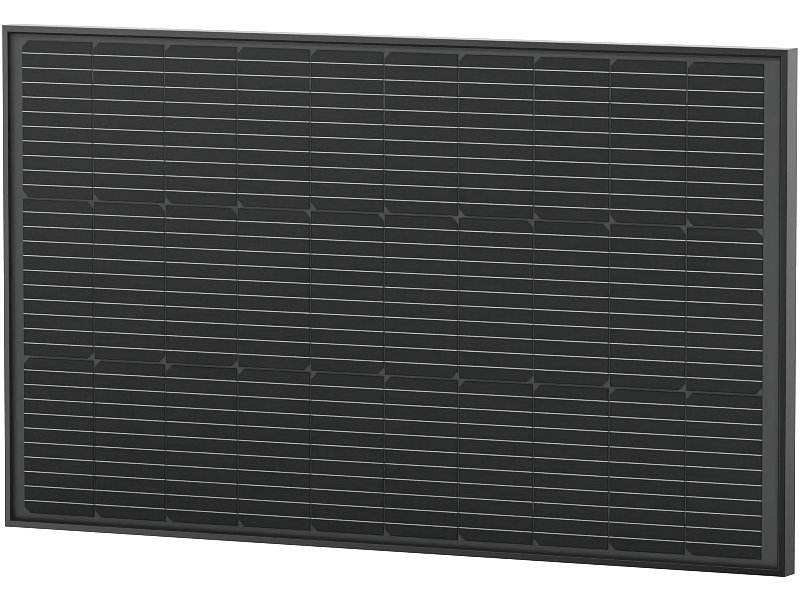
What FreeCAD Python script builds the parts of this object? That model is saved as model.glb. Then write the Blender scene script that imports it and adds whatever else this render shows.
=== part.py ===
"""Framed photovoltaic module: thirty half-cut cells in three rows of ten behind one glass.

The module stands in its own frame with +X to its right, +Z up and the glass facing -Y.
The origin is the centre of the four rack slots, on the rear plane of the frame.
Depths are counted from the front of the frame, so a depth of 0 is the lip's face
and a depth of frame_depth is the rear plane, Y = 0. All lengths are in millimetres.
"""
import FreeCAD, Part
import math
import os

over = 1.0                    # cutters run this far past what they cut
same_place = 1e-6             # points nearer than this are one point

# Cells and their layout
cell_columns = 10
cell_rows = 3
cell_width = 91.0             # X, a wafer cut in half
cell_height = 182.0           # Z, the whole wafer
cell_thickness = 0.2
cell_chamfer = 7.4            # leg of the pseudo-square corners, kept on one long side only
column_gap = 1.8
row_gap = 2.3
margin_left = 23.55           # outer face of the frame to the first column
margin_right = 30.25          # wider, because the strings are joined on this side
margin_end = 17.2             # outer face of the frame to the first and last row

# Ribbons
busbar_count = 10             # ribbons on each cell
busbar_margin = 14.63         # end of the cell to its first ribbon
ribbon_width = 0.9
ribbon_thickness = 0.2
hairpin_reach = 0.6           # how far an end ribbon stands off the cell's edge
hairpin_tail = 13.0           # how far it comes back behind the cell
bus_width = 5.0
bus_thickness = 0.3
bus_inset = 8.0               # cell edge to the middle of the bus ribbon
strip_width = 20.0            # insulation behind the end cells
lead_strip_width = 12.0       # insulation behind the leads
film_overhang = 3.3           # backing film past the right edge of the cells
lead_run_rise = 20.0          # leads run this far above the box's ribbon slots
lead_end_drop = 30.0          # the last row's lead runs this far above its lowest ribbon

# Laminate
glass_thickness = 3.2
glass_corner = 2.0
glass_seam = 0.4              # ground edge of the glass
encapsulant_thickness = 0.45
insulation_thickness = 0.15
film_thickness = 0.1
backsheet_thickness = 0.3
pocket_margin = 5.0           # the moulded pocket round the cells
slot_length = 8.0             # slots in the backsheet, one for each lead
slot_width = 2.5

# Frame extrusion
frame_depth = 30.0
wall = 1.4
lip_width = 7.4
lip_thickness = 1.2
box_width = 12.0              # hollow chamber, outside
flange_width = 28.0
flange_thickness = 1.6
corner_round = 0.6            # front outer edge
edge_round = 0.3              # lip's inner edge
rear_round = 0.6
mitre_gap = 0.2               # hairline between two rails

# Sealant round the laminate
sealant_front = 0.3
sealant_rear = 0.45
sealant_edge = 1.6            # between the frame's wall and the laminate's edge
front_bead_width = 2.2
front_bead_rise = 0.9
rear_bead_width = 2.5
rear_bead_rise = 2.0

# Corner keys
key_arm = 34.0
key_clearance = 0.1
key_wall = 2.4

# Holes in the flange
hole_inset = 20.5             # outer face of the frame to the middle of every hole
rack_slot_radius = 3.5
rack_slot_length = 12.0
rack_slot_spacing = 500.0     # on the top and bottom rails
side_hole_radius = 3.3
side_hole_spacing = 290.0     # on the left and right rails
ground_hole_radius = 2.1
ground_hole_place = 170.0     # X of the two grounding holes
drain_hole_radius = 2.0
drain_hole_inset = 60.0       # from the frame's corner along the top and bottom rails

# Junction box
box_x = 110.0
box_z = 80.0
box_wall = 2.4
box_floor = 2.0
box_corner = 6.0
box_foot = 3.0                # skirt round the foot
box_from_top = 50.0           # top of the frame to the top of the box
adhesive_thickness = 0.8
adhesive_width = 8.0
window_clearance = 5.5        # from the outer lead ribbons to the sides of the box window
window_z = 7.0
window_place = 14.0           # middle of the window above the middle of the box

lid_thickness = 2.7
lid_lip = 1.2
lid_lip_rise = 2.0
lid_lip_clearance = 0.4
lid_edge_round = 0.8
seal_thickness = 0.8
seal_clearance = 0.2          # seal to the rim
tongue_width = 16.0
tongue_thickness = 1.8
tongue_length = 8.5
tongue_clearance = 0.3
guide_width = 2.0
guide_clearance = 0.5

hinge_offset = 3.4            # top of the box to the hinge pin
knuckle_radius = 2.6
pin_radius = 1.2
pin_running_clearance = 0.05
pin_seat_clearance = 0.02
ear_width = 9.0
lid_knuckle_width = 30.0
knuckle_gap = 0.3
ear_web_rise = 1.3            # web above the pin
ear_web_drop = 8.8            # web down the box's wall
pin_overhang = 1.0

# Terminals and diodes
terminal_pitch = 30.0         # also the distance of each gland from the middle
terminal_width = 14.0
terminal_foot = 13.0          # lower end of the plates, below the middle of the box
terminal_thickness = 0.8
pedestal_rise = 2.0
pedestal_width = 5.0
pedestal_pitch = 14.5         # between a terminal's two posts
moulded_lap = 0.5             # posts run this far into the floor
tail_lap = 6.0                # lead's end lying on the terminal
crimp_length = 10.0
crimp_radius = 3.0
crimp_wall = 0.8
crimp_lap = 1.0               # barrel onto the plate
crimp_mouth = 3.0             # open seam of the barrel
diode_radius = 2.7
diode_length = 9.5
diode_lead_radius = 0.6
diode_lap = 4.0
diode_place = -4.0            # below the middle of the box

# Cable glands
cable_bore_radius = 3.1       # takes a 6 mm cable
seal_wall = 1.3
seal_length = 9.0
seal_proud = 1.0
inlet_clearance = 0.3         # cable bore to the inlet behind the seal
seat_clearance = 0.05
spigot_wall = 1.35
spigot_length = 10.0
boss_step = 2.2               # spigot to boss, which stops the nut
boss_length = 3.0
boss_rim_gap = 0.5            # boss to the box's rim
ring_overlap = 0.8            # slip ring past the seal
ring_thickness = 1.2
ring_clearance = 0.1          # to the seal and to the nut's nose
nut_wall = 1.9                # at the flats
nut_hex_length = 9.0
nut_length = 14.6
nut_nose_wall = 0.1           # nose past the bore of the nut
nut_dome_height = 3.0
nut_dome_taper = 0.4
nut_nose_round = 1.0
nut_bore_clearance = 0.3      # over the crest of the spigot's thread
nut_mouth_clearance = 0.5     # cable bore to the nut's mouth
nut_chamfer = 0.9
nut_shoulder_gap = 0.3
gland_floor_gap = 0.5         # nut's corner to the backsheet
thread_pitch = 1.5
nut_turns = 3

# What follows from them
column_pitch = cell_width + column_gap
row_pitch = cell_height + row_gap
busbar_pitch = (cell_height - 2 * busbar_margin) / (busbar_count - 1)
field_width = cell_columns * column_pitch - column_gap
field_height = cell_rows * row_pitch - row_gap
panel_width = field_width + margin_left + margin_right
panel_height = field_height + 2 * margin_end
half_x = panel_width / 2
half_z = panel_height / 2
field_left = -half_x + margin_left
field_right = field_left + field_width
field_top = half_z - margin_end

laminate_inset = wall + sealant_edge
laminate_x = panel_width - 2 * laminate_inset
laminate_z = panel_height - 2 * laminate_inset

glass_front = lip_thickness + sealant_front
glass_back = glass_front + glass_thickness
front_ribbon = glass_back + encapsulant_thickness
cell_front = front_ribbon + ribbon_thickness
cell_back = cell_front + cell_thickness
insulation_front = cell_back + ribbon_thickness
tail_front = insulation_front + insulation_thickness
bus_front = tail_front + ribbon_thickness
film_front = bus_front + bus_thickness
film_back = film_front + film_thickness
backsheet_front = film_back + encapsulant_thickness
backsheet_back = backsheet_front + backsheet_thickness
shelf_depth = backsheet_back + sealant_rear
chamber_front = shelf_depth + wall
flange_front = frame_depth - flange_thickness

box_top = half_z - box_from_top
box_middle = box_top - box_z / 2
box_bottom = box_top - box_z
box_back = backsheet_back + adhesive_thickness     # depth of the box's underside

inlet_radius = cable_bore_radius + inlet_clearance
nut_mouth_radius = cable_bore_radius + nut_mouth_clearance
seal_outer_radius = cable_bore_radius + seal_wall
ring_radius = seal_outer_radius + ring_overlap
spigot_radius = seal_outer_radius + seat_clearance + spigot_wall
boss_radius = spigot_radius + boss_step
nut_bore_radius = spigot_radius + nut_bore_clearance
nut_nose_radius = nut_bore_radius + nut_nose_wall
nut_corner_radius = (nut_bore_radius + nut_wall) * 2 / math.sqrt(3)
gland_depth = backsheet_back + gland_floor_gap + nut_corner_radius

floor_top = box_back + box_floor
rim_depth = gland_depth + boss_radius + boss_rim_gap
box_rise = rim_depth - box_back
lid_front = rim_depth + seal_clearance + seal_thickness
lid_back = lid_front + lid_thickness
hinge_depth = rim_depth                            # ahead of the lid's weight, so it hangs shut
hinge_height = box_top + hinge_offset
slot_height = box_middle + window_place
terminal_front = floor_top + pedestal_rise
terminal_back = terminal_front + terminal_thickness
window_x = 2 * (terminal_pitch + bus_width / 2 + window_clearance)
terminal_places = (-terminal_pitch, 0.0, terminal_pitch)
terminal_top = slot_height - slot_width
terminal_bottom = box_middle - terminal_foot
terminal_middle = (terminal_top + terminal_bottom) / 2
gland_shoulder = box_bottom - boss_length
gland_mouth = gland_shoulder - spigot_length


def vector(x, depth, z):
    """A point in the part's frame from its X, its depth behind the lip's face and its Z."""
    return FreeCAD.Vector(x, depth - frame_depth, z)


def rounded_wire(corners, place):
    """Closed wire through (a, b, radius) corners, each rounded by an arc; place maps a, b to a point."""
    edges = []
    ends = []
    for index, (a, b, radius) in enumerate(corners):
        here = FreeCAD.Vector(a, b, 0)
        before = FreeCAD.Vector(*corners[index - 1][:2], 0)
        after = FreeCAD.Vector(*corners[(index + 1) % len(corners)][:2], 0)
        if radius == 0:
            ends.append((here, None, here))
            continue
        back = (before - here).normalize()
        ahead = (after - here).normalize()
        half_angle = back.getAngle(ahead) / 2
        reach = radius / math.tan(half_angle)
        bisector = (back + ahead).normalize()
        middle = here + bisector * (radius / math.sin(half_angle) - radius)
        ends.append((here + back * reach, middle, here + ahead * reach))
    for index, (start, middle, end) in enumerate(ends):
        if middle is not None:
            edges.append(Part.Arc(*[place(p.x, p.y) for p in (start, middle, end)]).toShape())
        next_start = ends[(index + 1) % len(ends)][0]
        if (next_start - end).Length > same_place:
            edges.append(Part.LineSegment(place(end.x, end.y), place(next_start.x, next_start.y)).toShape())
    return Part.Wire(edges)


def plate(corners, depth, thickness):
    """Flat piece with an outline of (x, z, radius) corners, from a depth rearwards."""
    face = Part.Face(rounded_wire(corners, lambda x, z: vector(x, depth, z)))
    return face.extrude(FreeCAD.Vector(0, thickness, 0))


def rectangle(x0, x1, z0, z1, radius=0.0):
    """Corners of a rectangle for plate()."""
    return [(x0, z0, radius), (x1, z0, radius), (x1, z1, radius), (x0, z1, radius)]


def block(x0, x1, depth0, depth1, z0, z1):
    """Box between two corners."""
    return Part.makeBox(x1 - x0, depth1 - depth0, z1 - z0, vector(x0, depth0, z0))


def cylinder(radius, start, length, direction):
    """Round bar from a point along a direction."""
    return Part.makeCylinder(radius, length, start, direction)


# Frame

def mitred_bar(section, half_length, distance, gap=0.0):
    """Section extruded along X with mitred ends, its outer face at Z = -distance."""
    bar = section.extrude(FreeCAD.Vector(2 * half_length, 0, 0))
    bar.translate(FreeCAD.Vector(-half_length, 0, -distance))
    reach = flange_width + over
    end = half_length - gap / math.sqrt(2)
    trapezium = [(-end, -distance, 0.0), (end, -distance, 0.0),
                 (end - reach, -distance + reach, 0.0), (-end + reach, -distance + reach, 0.0)]
    return bar.common(plate(trapezium, -over, frame_depth + 2 * over))


def profile(corners):
    """Face of a section given as (distance inwards, depth, radius) corners."""
    return Part.Face(rounded_wire(corners, lambda inward, depth: vector(0, depth, inward)))


def around(shape, quarter):
    """Turns a bottom side's shape to the left (1), top (2) or right (3) side."""
    turned = shape.copy()
    turned.rotate(FreeCAD.Vector(0, 0, 0), FreeCAD.Vector(0, 1, 0), 90 * quarter)
    return turned


def rail_section():
    """Section of the frame extrusion, with its hollow chamber."""
    outline = profile([
        (0, 0, corner_round), (lip_width, 0, edge_round), (lip_width, lip_thickness, 0),
        (wall, lip_thickness, 0), (wall, shelf_depth, 0), (box_width, shelf_depth, 0),
        (box_width, flange_front, 0), (flange_width, flange_front, 0),
        (flange_width, frame_depth, edge_round), (0, frame_depth, rear_round)])
    chamber = profile([
        (wall, chamber_front, 0), (box_width - wall, chamber_front, 0),
        (box_width - wall, flange_front, 0), (wall, flange_front, 0)])
    return outline.cut(chamber)


def flange_slot(x, distance):
    """Cutter for one rack slot, running along X, in a rail whose outer face is at Z = -distance."""
    z = -distance + hole_inset
    straight = rack_slot_length / 2 - rack_slot_radius
    cutter = block(x - straight, x + straight, flange_front - over, frame_depth + over,
                   z - rack_slot_radius, z + rack_slot_radius)
    for end in (-straight, straight):
        cutter = cutter.fuse(flange_hole(x + end, distance, rack_slot_radius))
    return cutter.removeSplitter()


def flange_hole(x, distance, radius):
    """Cutter for one round hole in the flange."""
    start = vector(x, flange_front - over, -distance + hole_inset)
    return cylinder(radius, start, flange_thickness + 2 * over, FreeCAD.Vector(0, 1, 0))


def frame_rails():
    """The four mitred rails with their rack slots, grounding holes and drain holes."""
    rails = {}
    long_bar = mitred_bar(rail_section(), half_x, half_z, mitre_gap)
    short_bar = mitred_bar(rail_section(), half_z, half_x, mitre_gap)
    for name, quarter in (("bottom", 0), ("top", 2)):
        mirror = 1 if quarter == 0 else -1
        cutters = [flange_slot(side * rack_slot_spacing / 2, half_z) for side in (-1, 1)]
        cutters.append(flange_hole(mirror * ground_hole_place, half_z, ground_hole_radius))
        cutters += [flange_hole(side * (half_x - drain_hole_inset), half_z, drain_hole_radius)
                    for side in (-1, 1)]
        rails["frame_rail_" + name] = around(long_bar.cut(cutters), quarter)
    for name, quarter in (("left", 1), ("right", 3)):
        cutters = [flange_hole(side * side_hole_spacing / 2, half_x, side_hole_radius) for side in (-1, 1)]
        rails["frame_rail_" + name] = around(short_bar.cut(cutters), quarter)
    return rails


def corner_keys():
    """Four angle keys pressed into the chambers of the rails, each hollow between its two arms."""
    outer = wall + key_clearance
    inner = box_width - wall - key_clearance
    front = chamber_front + key_clearance
    rise = flange_front - chamber_front - 2 * key_clearance
    keys = []
    for side_x in (-1, 1):
        for side_z in (-1, 1):
            def corner(inward_x, inward_z):
                return side_x * (half_x - inward_x), side_z * (half_z - inward_z), 0.0
            outline = [corner(outer, outer), corner(key_arm, outer), corner(key_arm, inner),
                       corner(inner, inner), corner(inner, key_arm), corner(outer, key_arm)]
            pocket_outer = outer + key_wall
            pocket_inner = inner - key_wall
            pockets = [
                [corner(inner, pocket_outer), corner(key_arm - key_wall, pocket_outer),
                 corner(key_arm - key_wall, pocket_inner), corner(inner, pocket_inner)],
                [corner(pocket_outer, inner), corner(pocket_inner, inner),
                 corner(pocket_inner, key_arm - key_wall), corner(pocket_outer, key_arm - key_wall)]]
            key = plate(outline, front, rise)
            for pocket in pockets:
                key = key.cut(plate(pocket, front - over, rise + 2 * over))
            keys.append(key)
    return Part.makeCompound(keys)


def frame_sealant():
    """One bead of silicone that wraps the laminate's edge all round, with a fillet on each face."""
    section = profile([
        (wall, lip_thickness, 0), (lip_width, lip_thickness, 0),
        (lip_width, lip_thickness - front_bead_rise, 0),
        (lip_width + front_bead_width, glass_front, 0), (laminate_inset, glass_front, 0),
        (laminate_inset, backsheet_back, 0), (box_width + rear_bead_width, backsheet_back, 0),
        (box_width, backsheet_back + rear_bead_rise, 0), (box_width, shelf_depth, 0),
        (wall, shelf_depth, 0)])
    sides = []
    for quarter, half_length, distance in ((0, half_x, half_z), (1, half_z, half_x),
                                           (2, half_x, half_z), (3, half_z, half_x)):
        sides.append(around(mitred_bar(section, half_length, distance), quarter))
    return sides[0].multiFuse(sides[1:]).removeSplitter()


# Laminate

def sheet(depth, thickness, corner=0.0):
    """Full-size layer of the laminate."""
    outline = rectangle(-laminate_x / 2, laminate_x / 2, -laminate_z / 2, laminate_z / 2, corner)
    return plate(outline, depth, thickness)


def front_glass():
    """Tempered glass with ground edges."""
    glass = sheet(glass_front, glass_thickness, glass_corner)
    rims = [edge for edge in glass.Edges
            if edge.BoundBox.YMax - edge.BoundBox.YMin < same_place]
    return glass.makeChamfer(glass_seam, rims)


def front_encapsulant():
    """Clear layer behind the glass, with a rim that closes the edge round the cells."""
    layer = sheet(glass_back, film_back - glass_back)
    pocket = block(field_left - pocket_margin, field_right + pocket_margin, front_ribbon, film_back + over,
                   field_top - field_height - pocket_margin, field_top + pocket_margin)
    return layer.cut(pocket)


def lead_slots(depth, thickness):
    """Cutters for the three leads."""
    return [block(x - slot_length / 2, x + slot_length / 2, depth - over, depth + thickness + over,
                  slot_height - slot_width / 2, slot_height + slot_width / 2)
            for x in terminal_places]


def rear_encapsulant():
    """Flat layer behind the cells."""
    return sheet(film_back, encapsulant_thickness).cut(lead_slots(film_back, encapsulant_thickness))


def backsheet():
    """Rear film of the laminate."""
    return sheet(backsheet_front, backsheet_thickness).cut(lead_slots(backsheet_front, backsheet_thickness))


# Cells and ribbons

def cell_left_edge(column):
    return field_left + column * column_pitch


def row_middle(row):
    return field_top - cell_height / 2 - row * row_pitch


def chamfer_side(row):
    """Side of the cell that keeps the wafer's corners: every second row is turned half round."""
    return -1 if row % 2 == 0 else 1


def cell_outline(x0, x1, z0, z1, side, chamfer):
    """Corners of a half wafer, with both corners cut on its left (-1) or right (1) side."""
    near = x0 if side < 0 else x1
    far = x1 if side < 0 else x0
    inner = near - side * chamfer
    return [(far, z0, 0.0), (inner, z0, 0.0), (near, z0 + chamfer, 0.0),
            (near, z1 - chamfer, 0.0), (inner, z1, 0.0), (far, z1, 0.0)]


def cells():
    """Thirty half-cut cells, named by row and column from the top left."""
    made = {}
    for row in range(cell_rows):
        z = row_middle(row)
        for column in range(cell_columns):
            x = cell_left_edge(column)
            outline = cell_outline(x, x + cell_width, z - cell_height / 2, z + cell_height / 2,
                                   chamfer_side(row), cell_chamfer)
            made["cell_row%d_col%02d" % (row + 1, column + 1)] = plate(outline, cell_front, cell_thickness)
    return made


def busbar_heights(row):
    middle = (busbar_count - 1) / 2
    return [row_middle(row) - (index - middle) * busbar_pitch for index in range(busbar_count)]


def ribbon(points, z):
    """Flat ribbon seen from above as (x, depth) points, centred on a height."""
    wire = Part.makePolygon([vector(x, depth, z - ribbon_width / 2) for x, depth in points + points[:1]])
    return Part.Face(wire).extrude(FreeCAD.Vector(0, 0, ribbon_width))


def row_ribbon_shapes():
    """Ribbons of one busbar line of a string that runs left to right, as lists of (x, depth) points."""
    near, far = front_ribbon, cell_front
    rear_near, rear_far = cell_back, insulation_front
    reach = hairpin_reach + ribbon_thickness
    first = field_left
    last = field_right
    shapes = []
    for column in range(cell_columns - 1):
        a = cell_left_edge(column)
        b = a + cell_width
        c = b + column_gap
        d = c + cell_width
        shapes.append([(a, near), (b, near), (c, rear_near), (d, rear_near),
                       (d, rear_far), (c, rear_far), (b, far), (a, far)])
    shapes.append([(first + cell_width, rear_near), (first - reach, rear_near), (first - reach, bus_front),
                   (first + hairpin_tail, bus_front), (first + hairpin_tail, tail_front),
                   (first - hairpin_reach, tail_front), (first - hairpin_reach, rear_far),
                   (first + cell_width, rear_far)])
    shapes.append([(last - cell_width, near), (last + reach, near), (last + reach, bus_front),
                   (last - hairpin_tail, bus_front), (last - hairpin_tail, tail_front),
                   (last + hairpin_reach, tail_front), (last + hairpin_reach, far),
                   (last - cell_width, far)])
    return shapes


def cell_ribbons():
    """Tinned ribbons of each row, from the front of one cell to the back of the next."""
    made = {}
    for row in range(cell_rows):
        solids = []
        for points in row_ribbon_shapes():
            if chamfer_side(row) > 0:
                points = [(field_left + field_right - x, depth) for x, depth in points]
            solids += [ribbon(points, z) for z in busbar_heights(row)]
        made["cell_ribbons_row%d" % (row + 1)] = Part.makeCompound(solids)
    return made


def bus_x(side):
    """Middle of the bus ribbon at the left (-1) or right (1) end of the strings."""
    return field_left + bus_inset if side < 0 else field_right - bus_inset


def bus_spans():
    """Side, first row and last row of the string's start, its two turns and its end."""
    return ((-1, 0, 0), (1, 0, 1), (-1, 1, 2), (1, 2, 2))


def bus_bar(side, first_row, last_row):
    """Bus ribbon behind the end cells of one or two rows."""
    x = bus_x(side)
    return block(x - bus_width / 2, x + bus_width / 2, bus_front, film_front,
                 busbar_heights(last_row)[-1] - bus_width / 2, busbar_heights(first_row)[0] + bus_width / 2)


def bus_ribbons():
    return Part.makeCompound([bus_bar(*span) for span in bus_spans()])


def lead_routes():
    """For each lead: its terminal's X, the height of its long run and the side that it comes from."""
    high = slot_height + lead_run_rise
    low = busbar_heights(cell_rows - 1)[-1] + lead_end_drop
    return [(-terminal_pitch, high, -1), (0.0, high, 1), (terminal_pitch, low, 1)]


def lead(x, run, side):
    """Flat lead from a bus ribbon, along behind the cells and through the backsheet to a terminal."""
    half = bus_width / 2
    bus_edge = bus_x(side) - side * half
    far_edge = x - side * half
    along = block(min(bus_edge, far_edge), max(bus_edge, far_edge), bus_front, film_front,
                  run - half, run + half)
    down = 1 if run > slot_height else -1
    tail_z0 = slot_height - bus_thickness / 2
    tail_z1 = slot_height + bus_thickness / 2
    turn = block(x - half, x + half, bus_front, film_front, min(run - down * half, tail_z0),
                 max(run - down * half, tail_z1))
    tail = block(x - half, x + half, bus_front, terminal_back + bus_thickness, tail_z0, tail_z1)
    lap = block(x - half, x + half, terminal_back, terminal_back + bus_thickness,
                slot_height - slot_width - tail_lap, tail_z1)
    return along.multiFuse([turn, tail, lap]).removeSplitter()


def lead_ribbons():
    return Part.makeCompound([lead(*route) for route in lead_routes()])


def insulation_strips():
    """Films that keep the bus ribbons and leads off the backs of the cells."""
    solids = []
    for side, first_row, last_row in bus_spans():
        x0 = field_left if side < 0 else field_right - strip_width
        solids.append(block(x0, x0 + strip_width, insulation_front, tail_front,
                            row_middle(last_row) - cell_height / 2, row_middle(first_row) + cell_height / 2))
    half = lead_strip_width / 2
    for x, run, side in lead_routes():
        strip_edge = bus_x(side) - side * (strip_width - bus_inset)
        far_edge = x - side * half
        along = block(min(strip_edge, far_edge), max(strip_edge, far_edge), insulation_front, tail_front,
                      run - half, run + half)
        turn = block(x - half, x + half, insulation_front, tail_front, min(run, slot_height - half),
                     max(run, slot_height + half))
        solids.append(along.fuse(turn).removeSplitter())
    return Part.makeCompound(solids)


def backing_films():
    """Dark films behind the right-hand bus ribbons, one for each row, cut to the cell's outline."""
    films = []
    for row in range(cell_rows):
        z = row_middle(row)
        side = chamfer_side(row)
        x1 = field_right + film_overhang
        outline = rectangle(field_right - strip_width, x1, z - cell_height / 2, z + cell_height / 2)
        if side > 0:
            outline = cell_outline(field_right - strip_width, x1, z - cell_height / 2,
                                   z + cell_height / 2, side, cell_chamfer)
        films.append(plate(outline, film_front, film_thickness))
    return Part.makeCompound(films)


# Junction box

def box_outline(inset, radius):
    """Rectangle of the box, drawn in by an inset."""
    return rectangle(-box_x / 2 + inset, box_x / 2 - inset, box_bottom + inset, box_top - inset, radius)


def box_adhesive():
    """Bead of silicone between the box's foot and the backsheet."""
    pad = plate(box_outline(0, box_corner), backsheet_back, adhesive_thickness)
    opening = plate(box_outline(adhesive_width, box_corner / 2), backsheet_back - over,
                    adhesive_thickness + 2 * over)
    return pad.cut(opening)


def hinge_bar(radius, x0, x1):
    """Round bar on the hinge axis."""
    return cylinder(radius, vector(x0, hinge_depth, hinge_height), x1 - x0, FreeCAD.Vector(1, 0, 0))


def ear_span(side):
    """X range of the box's hinge ear on one side."""
    near = lid_knuckle_width / 2 + knuckle_gap
    return (near, near + ear_width) if side > 0 else (-near - ear_width, -near)


def box_ear(side):
    """Hinge ear: a knuckle carried by a sloped web on the box's top wall."""
    x0, x1 = ear_span(side)
    web = [vector(x0, hinge_depth - knuckle_radius, hinge_height + ear_web_rise),
           vector(x0, hinge_depth - ear_web_drop, box_top),
           vector(x0, rim_depth, box_top), vector(x0, hinge_depth, hinge_height)]
    web_solid = Part.Face(Part.makePolygon(web + web[:1])).extrude(FreeCAD.Vector(x1 - x0, 0, 0))
    return hinge_bar(knuckle_radius, x0, x1).fuse(web_solid)


def gland_bar(x, radius, z_top, length):
    """Round bar on a gland's axis, from a height downwards."""
    return cylinder(radius, vector(x, gland_depth, z_top), length, FreeCAD.Vector(0, 0, -1))


def gland_places():
    return (("left", -terminal_pitch), ("right", terminal_pitch))


def pedestals():
    """Moulded blocks that carry the terminals."""
    posts = []
    half = pedestal_width / 2
    for x in terminal_places:
        for z in (terminal_middle - pedestal_pitch / 2, terminal_middle + pedestal_pitch / 2):
            posts.append(block(x - half, x + half, floor_top - moulded_lap, terminal_front,
                               z - half, z + half))
    return posts


def box_base():
    """Moulded base: floor, walls, foot, hinge ears, gland spigots, terminal posts and tongue guides."""
    body = plate(box_outline(0, box_corner), box_back, box_rise)
    foot = plate(box_outline(-box_foot, box_corner + box_foot), box_back, box_floor)
    boss = [gland_bar(x, boss_radius, box_bottom + box_wall, box_wall + boss_length)
            for _, x in gland_places()]
    spigot = [gland_bar(x, spigot_radius, box_bottom, boss_length + spigot_length)
              for _, x in gland_places()]
    ears = [box_ear(side) for side in (-1, 1)]
    guides = []
    for side in (-1, 1):
        near = tongue_width / 2 + guide_clearance
        x0 = near if side > 0 else -near - guide_width
        guides.append(block(x0, x0 + guide_width, rim_depth - tongue_length, rim_depth,
                            box_bottom - tongue_thickness - tongue_clearance, box_bottom + box_wall / 2))
    body = body.multiFuse([foot] + boss + spigot + ears + guides).removeSplitter()
    cavity = plate(box_outline(box_wall, box_corner - box_wall), floor_top, box_rise)
    window = block(-window_x / 2, window_x / 2, box_back - over, floor_top + over,
                   slot_height - window_z / 2, slot_height + window_z / 2)
    cutters = [cavity, window, hinge_bar(pin_radius + pin_seat_clearance, -box_x / 2, box_x / 2)]
    for _, x in gland_places():
        cutters.append(gland_bar(x, inlet_radius, box_bottom + box_wall + over,
                                 box_wall + boss_length + spigot_length + 2 * over))
        seat_length = seal_length - seal_proud
        cutters.append(gland_bar(x, seal_outer_radius + seat_clearance, gland_mouth + seat_length,
                                 seat_length + over))
    return body.cut(cutters).multiFuse(pedestals()).removeSplitter()


def box_lid():
    """Lid with a locating lip, a hinge knuckle at the top and a pull tongue at the bottom."""
    slab = plate(box_outline(0, box_corner), lid_front, lid_thickness)
    rim = [edge for edge in slab.Edges
           if edge.BoundBox.YMin > vector(0, lid_back, 0).y - same_place]
    slab = slab.makeFillet(lid_edge_round, rim)
    inset = box_wall + lid_lip_clearance
    corner = box_corner - inset
    lip = plate(box_outline(inset, corner), lid_front - lid_lip_rise, lid_lip_rise)
    lip = lip.cut(plate(box_outline(inset + lid_lip, corner - lid_lip), lid_front - lid_lip_rise - over,
                        lid_lip_rise + over))
    half = lid_knuckle_width / 2
    arm = block(-half, half, lid_front, lid_back, box_top - box_wall, hinge_height)
    knuckle = hinge_bar(knuckle_radius, -half, half)
    tongue = block(-tongue_width / 2, tongue_width / 2, rim_depth - tongue_length, lid_back - lid_edge_round,
                   box_bottom - tongue_clearance - tongue_thickness, box_bottom - tongue_clearance)
    bridge = block(-tongue_width / 2, tongue_width / 2, lid_front, lid_back - lid_edge_round,
                   box_bottom - tongue_clearance, box_bottom + box_wall)
    lid = slab.multiFuse([lip, arm, knuckle, tongue, bridge]).removeSplitter()
    return lid.cut(hinge_bar(pin_radius + pin_running_clearance, -box_x / 2, box_x / 2))


def lid_seal():
    """Flat rubber gasket on the rim, bonded to the lid."""
    front = lid_front - seal_thickness
    seal = plate(box_outline(0, box_corner), front, seal_thickness)
    opening = plate(box_outline(box_wall, box_corner - box_wall), front - over, seal_thickness + 2 * over)
    return seal.cut(opening)


def hinge_pin():
    half = lid_knuckle_width / 2 + knuckle_gap + ear_width + pin_overhang
    return hinge_bar(pin_radius, -half, half)


def terminals():
    """Three tinned plates; the outer two end in open crimp barrels facing the glands."""
    solids = []
    half = terminal_width / 2
    top = terminal_bottom + crimp_lap
    for x in terminal_places:
        body = block(x - half, x + half, terminal_front, terminal_back, terminal_bottom, terminal_top)
        if x != 0.0:
            axis_depth = terminal_front + crimp_radius
            start = vector(x, axis_depth, top)
            barrel = cylinder(crimp_radius, start, crimp_length, FreeCAD.Vector(0, 0, -1))
            bore = cylinder(crimp_radius - crimp_wall, start, crimp_length, FreeCAD.Vector(0, 0, -1))
            mouth = block(x - crimp_mouth / 2, x + crimp_mouth / 2,
                          axis_depth, axis_depth + crimp_radius + over, top - crimp_length, top)
            body = body.fuse(barrel).cut([bore, mouth])
        solids.append(body)
    return Part.makeCompound(solids)


def bypass_diodes():
    """Two axial diodes, each lapped on the terminals at its ends."""
    solids = []
    axis_depth = terminal_back + diode_lead_radius
    z = box_middle + diode_place
    for middle in (-terminal_pitch / 2, terminal_pitch / 2):
        half_gap = (terminal_pitch - terminal_width) / 2
        wire_half = half_gap + diode_lap
        body = cylinder(diode_radius, vector(middle - diode_length / 2, axis_depth, z), diode_length,
                        FreeCAD.Vector(1, 0, 0))
        wire = cylinder(diode_lead_radius, vector(middle - wire_half, axis_depth, z), 2 * wire_half,
                        FreeCAD.Vector(1, 0, 0))
        solids.append(body.fuse(wire).removeSplitter())
    return Part.makeCompound(solids)


# Glands

def gland_seal(x):
    """Rubber sleeve in the spigot, standing a little proud of its mouth."""
    top = gland_mouth + seal_length - seal_proud
    sleeve = gland_bar(x, seal_outer_radius, top, seal_length)
    return sleeve.cut(gland_bar(x, cable_bore_radius, top + over, seal_length + 2 * over))


def gland_ring(x):
    """Slip ring between the seal and the nut's nose."""
    top = gland_mouth - seal_proud - ring_clearance
    ring = gland_bar(x, ring_radius, top, ring_thickness)
    return ring.cut(gland_bar(x, nut_mouth_radius, top + over, ring_thickness + 2 * over))


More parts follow.
